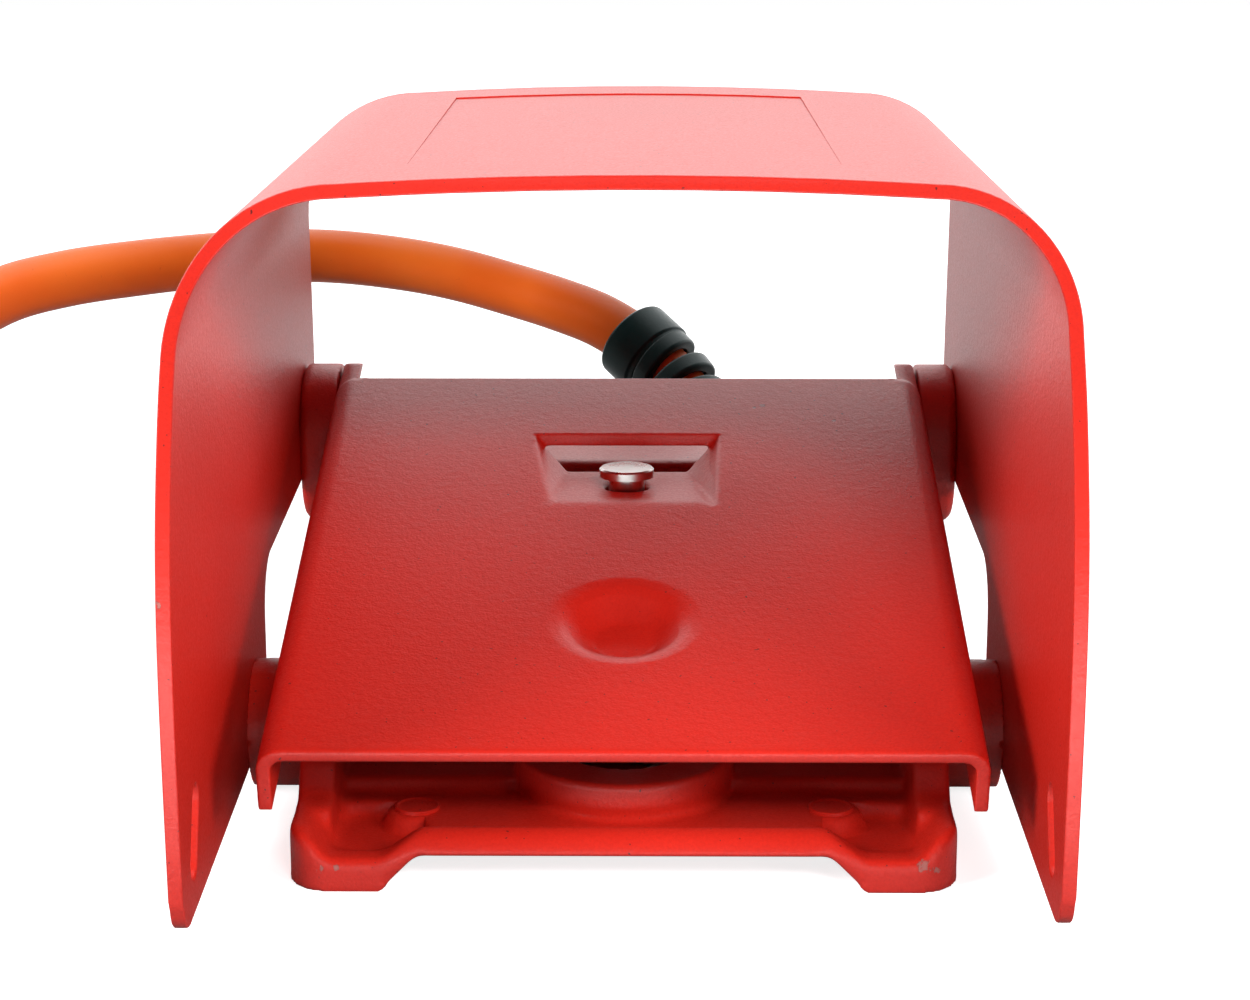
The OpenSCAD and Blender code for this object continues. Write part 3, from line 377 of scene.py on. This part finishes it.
# worn places in the paint: x, y, z and radius in mm
CHIPS = [
    (-57.5, -69.5, 4.4, 0.9), (-54.6, -70.3, 4.9, 0.6), (57.4, -70.2, 5.4, 1.1),
    (59.8, -68.9, 4.6, 0.9), (-80.9, -102.3, 66, 1.2), (31, 52, 69.5, 0.7),
    (29.2, 51, 69.2, 0.4), (47, 45, 67.5, 0.5),
]

PAINT = red_paint()
ZINC = bare_metal("zinc_plate", (0.66, 0.66, 0.64), 0.24)
SPRING = bare_metal("spring_steel", (0.52, 0.53, 0.55), 0.28)
BRONZE = bare_metal("bronze", (0.62, 0.42, 0.17), 0.26)
RUBBER = matt("rubber", (0.018, 0.018, 0.019), (0.028, 0.028, 0.028), 0.62)
MOULDING = matt("moulding", (0.024, 0.026, 0.028), (0.034, 0.036, 0.038), 0.46)
GLAND = matt("gland_plastic", (0.006, 0.034, 0.034), (0.009, 0.043, 0.042), 0.34, 0.00004, 0.25)
SHEATH = sheath()


def dress(obj, material):
    """Gives the object this one material."""
    obj.data.materials.clear()
    obj.data.materials.append(material)
    for face in obj.data.polygons:
        face.material_index = 0


# ---------------------------------------------------------------- CAD parts as they are made


def add_cleaning(obj):
    """Joins the mesh's split corners and makes one face of each flat, as modifiers."""
    weld = obj.modifiers.new("weld", "WELD")
    weld.merge_threshold = SPLIT
    flat = obj.modifiers.new("flat", "DECIMATE")
    flat.decimate_type = "DISSOLVE"
    flat.angle_limit = math.radians(0.5)


def add_rounding(obj, width, segments, limit):
    """Rounds the edges by this width in mm and evens the shading, as modifiers."""
    bevel = obj.modifiers.new("edges", "BEVEL")
    bevel.width = width * MM
    bevel.segments = segments
    bevel.limit_method = limit
    bevel.angle_limit = math.radians(EDGE_ANGLE)
    normals = obj.modifiers.new("normals", "WEIGHTED_NORMAL")
    normals.keep_sharp = True


EDGE_ANGLE = 28
# the nodes that show their own solid: material, slot and width of the rounding in mm
FINISH = {
    "bottom_cover": (ZINC, "zinc_steel", 0.3),
    "cover_gasket": (RUBBER, "rubber", 0.2),
    "cover_screws": (ZINC, "zinc_steel", 0.2),
    "floor_hole_plugs": (PAINT, "paint", 0.35),
    "hood_screws_rear": (ZINC, "zinc_steel", 0.25),
    "hood_screws_front": (ZINC, "zinc_steel", 0.25),
    "hood_washers": (ZINC, "zinc_steel", 0.25),
    "pivot_pins": (ZINC, "zinc_steel", 0.3),
    "spring_seat": (ZINC, "zinc_steel", 0.2),
    "plunger_guide": (BRONZE, "bronze", 0.25),
    "plunger_seal": (RUBBER, "rubber", 0.2),
    "contact_block": (MOULDING, "moulding", 0.35),
    "contact_block_screws": (ZINC, "zinc_steel", 0.2),
    "terminal_screws": (BRONZE, "bronze", 0.15),
    "release_guide": (BRONZE, "bronze", 0.25),
    "latch_keeper": (ZINC, "zinc_steel", 0.25),
    "earth_screw": (BRONZE, "bronze", 0.2),
    "gland_body": (GLAND, "gland_plastic", 0.4),
    "gland_washer": (RUBBER, "rubber", 0.2),
    "gland_seal": (RUBBER, "rubber", 0.2),
    "connector_body": (ZINC, "zinc_steel", 0.4),
    "connector_ring": (ZINC, "zinc_steel", 0.25),
    "connector_insert": (MOULDING, "moulding", 0.15),
    "pivot_bushes": (BRONZE, "bronze", 0.25),
    "plunger": (ZINC, "zinc_steel", 0.3),
    "release_pin": (ZINC, "zinc_steel", 0.3),
    "latch_slide": (ZINC, "zinc_steel", 0.3),
}
for node, (material, slot, width) in FINISH.items():
    dress(nodes[node], material)
    add_cleaning(nodes[node])
    add_rounding(nodes[node], width, 2, "ANGLE")
    nodes[node].data.shade_smooth()
dress(cable, SHEATH)


def cad_copy(node, name):
    """A copy of a CAD node's mesh with its split corners joined."""
    obj = bpy.data.objects.new(name, nodes[node].data.copy())
    scene.collection.objects.link(obj)
    work = bmesh.new()
    work.from_mesh(obj.data)
    bmesh.ops.remove_doubles(work, verts=work.verts, dist=SPLIT)
    work.to_mesh(obj.data)
    work.free()
    return obj


def applied(obj):
    """The object, with what its modifiers make put in the mesh itself."""
    made = bpy.data.meshes.new_from_object(
        obj.evaluated_get(bpy.context.evaluated_depsgraph_get())
    )
    obj.modifiers.clear()
    obj.data = made
    return obj


def rounded_solid(node, name, voxel, rounds):
    """The node's solid with every edge rounded, as a cast or thickly painted part has."""
    obj = cad_copy(node, name)
    remesh = obj.modifiers.new("remesh", "REMESH")
    remesh.mode = "VOXEL"
    remesh.voxel_size = voxel * MM
    smooth = obj.modifiers.new("smooth", "SMOOTH")
    smooth.factor = HALF_WAY
    smooth.iterations = rounds
    return applied(obj)


def smooth_near(obj, inside, rounds):
    """Smooths the vertices for which inside(their place in mm) is true."""
    work = bmesh.new()
    work.from_mesh(obj.data)
    chosen = [v for v in work.verts if inside(v.co / MM)]
    for _ in range(rounds):
        bmesh.ops.smooth_vert(
            work, verts=chosen, factor=HALF_WAY,
            use_axis_x=True, use_axis_y=True, use_axis_z=True,
        )
    work.to_mesh(obj.data)
    work.free()


def thin(obj, ratio):
    """Leaves about this share of the faces, and shades the mesh smooth."""
    cut = obj.modifiers.new("thin", "DECIMATE")
    cut.ratio = ratio
    applied(obj)
    obj.data.shade_smooth()


# places on the base and the pedal, in mm
CASTING_FRONT_Y, FEET_Z = -37, 1.2
WEB_X, WEB_Z = 50, 47
PLUG_X, PLUG_Y, PLUG_GAP_R = 41.0, -47.8, 7.5
TRAY_SUNK, TRAY_FLOOR = 4.4, 8.65
CUP_Y, CUP_R, CUP_TOP, CUP_RISE = -33.65, 22.2, 15.6, 1.2
# the middle of the round on the cup's top edge: its distance from the cup's axis and height
ROUND_IN_SOLID, ROUND_DRAWN, ROUND_R = (18.3, 11.5), (20.6, 13.8), 1.2
FRONT_BOSS_Y, FRONT_BOSS_Z, FRONT_BOSS_R = -10.4, 14.0, 13.5
GROOVE_X, GROOVE_R = 75.4, 11.3
DIMPLE_Y, DIMPLE_R = -33.85, 20.5
POCKET_X, POCKET_Y0, POCKET_Y1 = 27, 2, 36
PLATE_FRONT_Y, PLATE_FRONT_Z, PLATE_RISE = -76.75, 30.5, math.tan(math.radians(16.9))
PLATE_X, FLANGE_DROP, EAR_DROP = 66, 1.9, 2.0


def from_plug(c):
    return math.hypot(abs(c.x) - PLUG_X, c.y - PLUG_Y)


def from_cup(c):
    return math.hypot(c.x, c.y - CUP_Y)


def open_casting(c):
    """The front of the base above its feet, clear of the cup and the plugs."""
    in_front = c.y < CASTING_FRONT_Y and c.z > FEET_Z
    return in_front and from_cup(c) > 24 and from_plug(c) >= 8


def reshape_base(v):
    c = v.co / MM
    # the cup's top edge is drawn tighter than in the solid
    far = from_cup(c)
    if ROUND_IN_SOLID[0] < far < CUP_R and ROUND_IN_SOLID[1] < c.z < CUP_TOP:
        turn = math.atan2(c.z - ROUND_IN_SOLID[1], far - ROUND_IN_SOLID[0])
        new = ROUND_DRAWN[0] + ROUND_R * math.cos(turn)
        v.co.x, v.co.y = c.x * new / far * MM, (CUP_Y + (c.y - CUP_Y) * new / far) * MM
        v.co.z = (ROUND_DRAWN[1] + ROUND_R * math.sin(turn)) * MM
    # the tray's floor closes round each plug
    if from_plug(c) < PLUG_GAP_R and TRAY_SUNK < c.z < TRAY_FLOOR - 0.05:
        v.co.z += (TRAY_FLOOR - c.z) * ramp(PLUG_GAP_R - from_plug(c), 0, 2.2) * MM
    # the cup stands a little higher
    if far < CUP_R:
        v.co.z += CUP_RISE * ramp(v.co.z / MM, 12, 15) * MM
    # the front bosses reach the hood in full width
    y, z = c.y - FRONT_BOSS_Y, c.z - FRONT_BOSS_Z
    if abs(c.x) > GROOVE_X and GROOVE_R < math.hypot(y, z) < FRONT_BOSS_R:
        grow = (FRONT_BOSS_R - 0.1) / math.hypot(y, z)
        v.co.y, v.co.z = (FRONT_BOSS_Y + y * grow) * MM, (FRONT_BOSS_Z + z * grow) * MM


base = rounded_solid("base_housing", "base_casting", 0.6, 2)
smooth_near(base, open_casting, 20)
for v in base.data.vertices:
    reshape_base(v)
# the raised web between the rear bosses
smooth_near(base, lambda c: c.z > WEB_Z and abs(c.x) < WEB_X, 5)
thin(base, 0.3)
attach(base, "base")
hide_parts("base_housing")
dress(base, PAINT)

pedal = rounded_solid("pedal", "pedal_pressing", 0.45, 1)
# the dimple, the pocket and the front lip have the soft edges of drawn sheet
smooth_near(pedal, lambda c: math.hypot(c.x, c.y - DIMPLE_Y) < DIMPLE_R, 2)
smooth_near(pedal, lambda c: abs(c.x) < POCKET_X and POCKET_Y0 < c.y < POCKET_Y1, 12)
smooth_near(pedal, lambda c: c.y < PLATE_FRONT_Y + 3 and abs(c.x) < PLATE_X, 8)
for v in pedal.data.vertices:
    c = v.co / MM
    below = PLATE_FRONT_Z + (c.y - PLATE_FRONT_Y) * PLATE_RISE - c.z
    # the flanges reach a little deeper at the front, the ears' tops are rounded lower
    drop = FLANGE_DROP * ramp(abs(c.x), 60, 62) * ramp(-c.y, 42, 66) * ramp(below, 5.5, 11)
    drop += EAR_DROP * ramp(abs(c.x), 61.5, 64) * ramp(c.y, 63, 69) * ramp(c.z, 66, 75)
    v.co.z -= drop * MM
thin(pedal, 0.35)
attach(pedal, "pedal")
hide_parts("pedal")
dress(pedal, PAINT)

# the label place's half width, front and rear ends and the height above which it lies, in mm
RECESS_X, RECESS_Y0, RECESS_Y1, RECESS_Z = 40.3, -51.0, 79.0, 134
ROOF_FALL, FOOT_FALL = 1.3, 1.6
HOOD_DEPTH, HOOD_REAR_Y = 206, 103


def ease_recess(obj, front_step, rear_step):
    """Lets the label place's step fade towards the front, as under thick paint."""
    columns = {}
    for v in obj.data.vertices:
        x, y, z = v.co / MM
        for edge_y, step in ((RECESS_Y0, front_step), (RECESS_Y1, rear_step)):
            if abs(x) < RECESS_X + 0.05 and abs(y - edge_y) < 0.05 and z > RECESS_Z:
                columns.setdefault((round(x, 1), step), []).append(v)
    for (_, step), column in columns.items():
        top = max(v.co.z for v in column)
        for v in column:
            if top - v.co.z > 0.3 * MM:
                v.co.z = top - step * MM


def in_recess(c):
    beside = abs(c.x) < RECESS_X + 0.1 and c.z > RECESS_Z
    return beside and RECESS_Y0 - 0.1 < c.y < RECESS_Y1 + 0.1


def round_sheet(obj, width, angle, keep_sharp):
    """Rounds the edges, apart from those that keep_sharp(middle) leaves as they are."""
    add_cleaning(obj)
    applied(obj)
    work = bmesh.new()
    work.from_mesh(obj.data)
    weight = work.edges.layers.float.new("bevel_weight_edge")
    for edge in work.edges:
        edge.smooth = True
        if len(edge.link_faces) == 2 and edge.calc_face_angle(0) > math.radians(angle):
            middle = (edge.verts[0].co + edge.verts[1].co) / (2 * MM)
            if keep_sharp(middle):
                edge.smooth = False
            else:
                edge[weight] = 1.0
    work.to_mesh(obj.data)
    work.free()
    for face in obj.data.polygons:
        face.use_smooth = True
    add_rounding(obj, width, 3, "WEIGHT")


hood = cad_copy("hood", "hood_sheet")
ease_recess(hood, 0.06, 0.35)
for v in hood.data.vertices:
    c = v.co / MM
    # the roof falls a little towards the front, and the left wall's foot hangs lower
    fall = ROOF_FALL * straight(c.z, 100, 137) * (HOOD_REAR_Y - c.y) / HOOD_DEPTH
    fall += FOOT_FALL * straight(-c.z, -40, -6) * straight(-c.y, 40, 100) * (c.x < -60)
    v.co.z -= fall * MM
round_sheet(hood, 0.7, 40.0, in_recess)
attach(hood, "base")
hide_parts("hood")
dress(hood, PAINT)

# each spring, the joint that presses it, its axis and how far it gives, in mm
SPRINGS = (
    ("pedal_spring", "pedal_hinge", 2, 12.2),
    ("release_spring", "release_slide", 2, 2.0),
    ("latch_spring", "latch_slide", 1, 1.6),
)
for node, joint, along, travel in SPRINGS:
    low, high = (Vector(corner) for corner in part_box(node))
    wire = cad_copy(node, node + "_wire")
    wire.data.shade_smooth()
    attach(wire, "base")
    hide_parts(node)
    dress(wire, SPRING)
    axis, anchor = Vector((0, 0, 0)), (low + high) / 2
    axis[along], anchor[along] = 1, low[along]
    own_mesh(wire)

# ---------------------------------------------------------------- gland nut and its spiral

# the gland's axis and the nut's front face, in mm
GLAND_X, GLAND_Z, NUT_Y = 24.0, 33.0, 81.5
NUT_LONG, NUT_FLATS = 6.0, 24.0
# the part of the route that the bend protection follows, in fine steps of each span
STEPS = 120
FINE_ROUTE = [p * MM for p in catmull(ROUTE[:12], STEPS)]
SPIRAL_FROM, SPIRAL_TO, COLLAR = 3 * STEPS, 8 * STEPS, 924
SPIRAL_TURNS, SPIRAL_START = 9.2, 40


def lathe(name, profile, centre, axis):
    """A closed turned solid; profile is (radius, place along the axis) in mm."""
    axis = Vector(axis).normalized()
    u = axis.orthogonal().normalized()
    v = axis.cross(u)
    verts, faces = [], []
    count = len(profile)
    for k in range(TURNED_SIDES):
        a = 2 * math.pi * k / TURNED_SIDES
        out = math.cos(a) * u + math.sin(a) * v
        verts += [Vector(centre) + (r * out + h * axis) * MM for r, h in profile]
    for k in range(TURNED_SIDES):
        for i in range(count):
            j, m = (i + 1) % count, (k + 1) % TURNED_SIDES
            faces.append((k * count + i, k * count + j, m * count + j, m * count + i))
    return new_object(name, verts, faces)


def joined(objects, name):
    """One object with the meshes of several."""
    work = bmesh.new()
    for obj in objects:
        work.from_mesh(obj.data)
        bpy.data.objects.remove(obj)
    mesh = bpy.data.meshes.new(name)
    work.to_mesh(mesh)
    work.free()
    mesh.shade_smooth()
    made = bpy.data.objects.new(name, mesh)
    scene.collection.objects.link(made)
    return made


def strip_section():
    """The strip's section as (radius, place along the cable) in mm, with round corners."""
    inner, outer, half, outer_r, inner_r = CABLE_R + 0.5, CABLE_R + 3.3, 2.6, 0.9, 0.6
    section = []
    for x, y, r, start in (
        (outer - outer_r, -half + outer_r, outer_r, -90),
        (outer - outer_r, half - outer_r, outer_r, 0),
        (inner + inner_r, half - inner_r, inner_r, 90),
        (inner + inner_r, -half + inner_r, inner_r, 180),
    ):
        for k in range(5):
            a = math.radians(start + 22.5 * k)
            section.append((x + r * math.cos(a), y + r * math.sin(a)))
    return section


def gland_spiral(turns):
    """The strip of the bend protection, with rounded edges, wound round the cable."""
    fine = FINE_ROUTE[SPIRAL_FROM : SPIRAL_TO + 1]
    steps = int(turns * 60)
    verts, faces = [], []
    section = strip_section()
    for i in range(steps + 1):
        place = i / steps * (len(fine) - 1)
        j = min(int(place), len(fine) - 2)
        p = fine[j].lerp(fine[j + 1], place - j)
        t = (fine[min(j + 2, len(fine) - 1)] - fine[max(j - 1, 0)]).normalized()
        u = Vector((0.15, -0.25, 1.0)).cross(t).normalized()
        v = t.cross(u)
        a = math.radians(360 * turns * i / steps + SPIRAL_START)
        out = math.cos(a) * u + math.sin(a) * v
        verts += [p + (r * out + w * t) * MM for r, w in section]
    n = len(section)
    for i in range(steps):
        for k in range(n):
            a, b = i * n + k, i * n + (k + 1) % n
            faces.append((a, b, b + n, a + n))
    faces.append(tuple(range(n - 1, -1, -1)))
    faces.append(tuple(range(steps * n, steps * n + n)))
    return new_object("spiral", verts, faces)


def rounded_profile(points, radius):
    """Profile points with each corner cut into a small round."""
    out = []
    count = len(points)
    for i in range(count):
        p = Vector((*points[i], 0))
        a = Vector((*points[i - 1], 0)) - p
        b = Vector((*points[(i + 1) % count], 0)) - p
        r = min(radius, a.length * 0.4, b.length * 0.4)
        a, b = a.normalized() * r, b.normalized() * r
        for t in (0.0, 0.25, 0.5, 0.75, 1.0):
            q = p + a * (1 - t) ** 2 + b * t * t
            out.append((q.x, q.y))
    return out


# the collar at the spiral's far end and the nut's dome: (radius, place along the axis) in mm
COLLAR_PROFILE = [
    (CABLE_R + 0.3, -3.5), (CABLE_R + 3.2, -3.5), (CABLE_R + 3.2, -1.9), (CABLE_R + 3.8, -1.5),
    (CABLE_R + 3.8, 7.9), (CABLE_R + 3.2, 8.5), (CABLE_R + 0.5, 8.5),
]
DOME_PROFILE = [
    (CABLE_R + 0.3, 5.9), (12.0, 5.9), (11.7, 7.6), (11.0, 9.0), (CABLE_R + 3, 10.0),
    (CABLE_R + 0.9, 10.0), (CABLE_R + 0.9, 7.0), (CABLE_R + 0.3, 7.0),
]
collar_way = (FINE_ROUTE[COLLAR + 3] - FINE_ROUTE[COLLAR - 3]).normalized()
collar = lathe("collar", rounded_profile(COLLAR_PROFILE, 0.5), FINE_ROUTE[COLLAR], collar_way)
dome_at = (GLAND_X * MM, NUT_Y * MM, GLAND_Z * MM)
dome = lathe("dome", rounded_profile(DOME_PROFILE, 0.5), dome_at, (0, 1, 0))


def hex_ring(name, flats, y0, y1, bore):
    """A nut's hexagon along Y with chamfered corners and a round bore."""
    verts, faces = [], []
    centre = Vector((GLAND_X, 0, GLAND_Z))
    # radius and place along Y; None is the hexagon's own reach
    rows = (
        (bore, y0), (flats / 2 - 0.4, y0), (None, y0 + 1.0),
        (None, y1 - 1.0), (flats / 2 - 0.4, y1), (bore, y1),
    )
    for k in range(TURNED_SIDES):
        a = 2 * math.pi * k / TURNED_SIDES
        turn = (a + math.pi / 6) % (math.pi / 3) - math.pi / 6
        reach = min(flats / 2 / math.cos(turn), flats / 2 + 1.0)
        for r, y in rows:
            d = reach if r is None else r
            verts.append((centre + Vector((d * math.sin(a), y, d * math.cos(a)))) * MM)
    n = len(rows)
    for k in range(TURNED_SIDES):
        for i in range(n):
            j, m = (i + 1) % n, (k + 1) % TURNED_SIDES
            faces.append((k * n + i, m * n + i, m * n + j, k * n + j))
    return new_object(name, verts, faces)


nut = hex_ring("nut", NUT_FLATS, NUT_Y, NUT_Y + NUT_LONG, CABLE_R + 0.3)
gland = joined([nut, dome, gland_spiral(SPIRAL_TURNS), collar], "gland_spiral_nut")
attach(gland, "base")
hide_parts("gland_nut")
dress(gland, GLAND)
gland.modifiers.new("normals", "WEIGHTED_NORMAL")

# ---------------------------------------------------------------- floor and light

FLOOR = 3.0
floor = new_object(
    "floor",
    [(-FLOOR, -FLOOR, 0), (FLOOR, -FLOOR, 0), (FLOOR, FLOOR, 0), (-FLOOR, FLOOR, 0)],
    [(0, 1, 2, 3)],
    smooth=False,
)
net = Net("light_table")
cloud = net.noise(3, 2.0)
net.set(Roughness=0.5)
rays = net.add("ShaderNodeLightPath").outputs
across = net.add("ShaderNodeSeparateXYZ")
net.put(across.inputs[0], net.place)
away = net.add("ShaderNodeVectorMath", operation="LENGTH")
net.put(away.inputs[0], net.place)
# white to the eye and darker to other rays; the lit part behind the object shows in gloss
eye = rays["Is Camera Ray"]
gloss = net.maths("MULTIPLY", rays["Is Glossy Ray"], net.fit(across.outputs["Y"], 0.05, 0.5))
glow = net.maths("MULTIPLY", eye, net.fit(away.outputs["Value"], 0.25, 1.1, 0.8, 1.0))
white = net.mix(cloud, (0.80, 0.80, 0.81), (0.82, 0.82, 0.82))
net.set(Base_Color=net.mix(eye, (0.25, 0.25, 0.25), white))
net.set(Emission_Color=(1.0, 1.0, 1.0, 1.0), Emission_Strength=net.maths("ADD", glow, gloss))
net.set(Specular_IOR_Level=0.1)
floor.data.materials.append(net.material)


def soft_light(name, power, size, place, aim, in_gloss=False):
    """A rectangular lamp that the camera does not see."""
    data = bpy.data.lights.new(name, "AREA")
    data.energy = power
    data.shape = "RECTANGLE"
    data.size, data.size_y = size
    lamp = bpy.data.objects.new(name, data)
    lamp.location = place
    lamp.rotation_euler = (Vector(aim) - Vector(place)).to_track_quat("-Z", "Y").to_euler()
    lamp.visible_camera, lamp.visible_glossy = False, in_gloss
    scene.collection.objects.link(lamp)


# name, power in W, size, place and aim in m
PEDAL_MIDDLE = (0, -0.05, 0.06)
soft_light("key", 13.5, (0.6, 0.5), (0.937, -0.836, 0.63), PEDAL_MIDDLE)
soft_light("left", 16, (0.5, 0.45), (-1.038, -0.698, 0.63), PEDAL_MIDDLE)
soft_light("front", 6.5, (0.3, 0.16), (0.33, -1.12, 0.73), PEDAL_MIDDLE)
soft_light("card", 0.9, (0.6, 0.19), (0, -0.205, 0.004), (0, -0.16, 0.3), in_gloss=True)
soft_light("top", 2.2, (0.9, 0.9), (0, 0.35, 1.2), (0, 0.05, 0.1))

# strength of the studio in gloss and as fill, in front of and behind the object
FRONT_MIRROR, BACK_MIRROR, FRONT_FILL, BACK_FILL = 0.03, 2.0, 0.02, 0.04
scene.world = bpy.data.worlds.new("world")
scene.world.use_nodes = True
sky = scene.world.node_tree


def sky_node(kind, inputs=(), **settings):
    """A node of the world with these inputs; None leaves one as it is."""
    node = sky.nodes.new(kind)
    for key, value in settings.items():
        setattr(node, key, value)
    for socket, value in zip(node.inputs, inputs):
        if isinstance(value, bpy.types.NodeSocket):
            sky.links.new(value, socket)
        elif value is not None:
            socket.default_value = value
    return node


def sky_mix(amount, a, b):
    return sky_node("ShaderNodeMix", (amount, None, a, b), data_type="FLOAT").outputs[0]


sky_rays = sky_node("ShaderNodeLightPath").outputs
way = sky_node("ShaderNodeSeparateXYZ", (sky_node("ShaderNodeTexCoord").outputs["Generated"],))
back = way.outputs["Y"]
# the studio: a white wall behind the object, darkness behind the camera
in_gloss = sky_node("ShaderNodeMapRange", (back, -0.15, 0.25, FRONT_MIRROR, BACK_MIRROR))
fill = sky_node("ShaderNodeMapRange", (back, -0.15, 0.35, FRONT_FILL, BACK_FILL))
lighting = sky_mix(sky_rays["Is Glossy Ray"], fill.outputs[0], in_gloss.outputs[0])
seen = sky_mix(sky_rays["Is Camera Ray"], lighting, 1.0)
sky.nodes["Background"].inputs[0].default_value = (1, 1, 1, 1)
sky.links.new(seen, sky.nodes["Background"].inputs[1])
scene.view_settings.view_transform = "Standard"
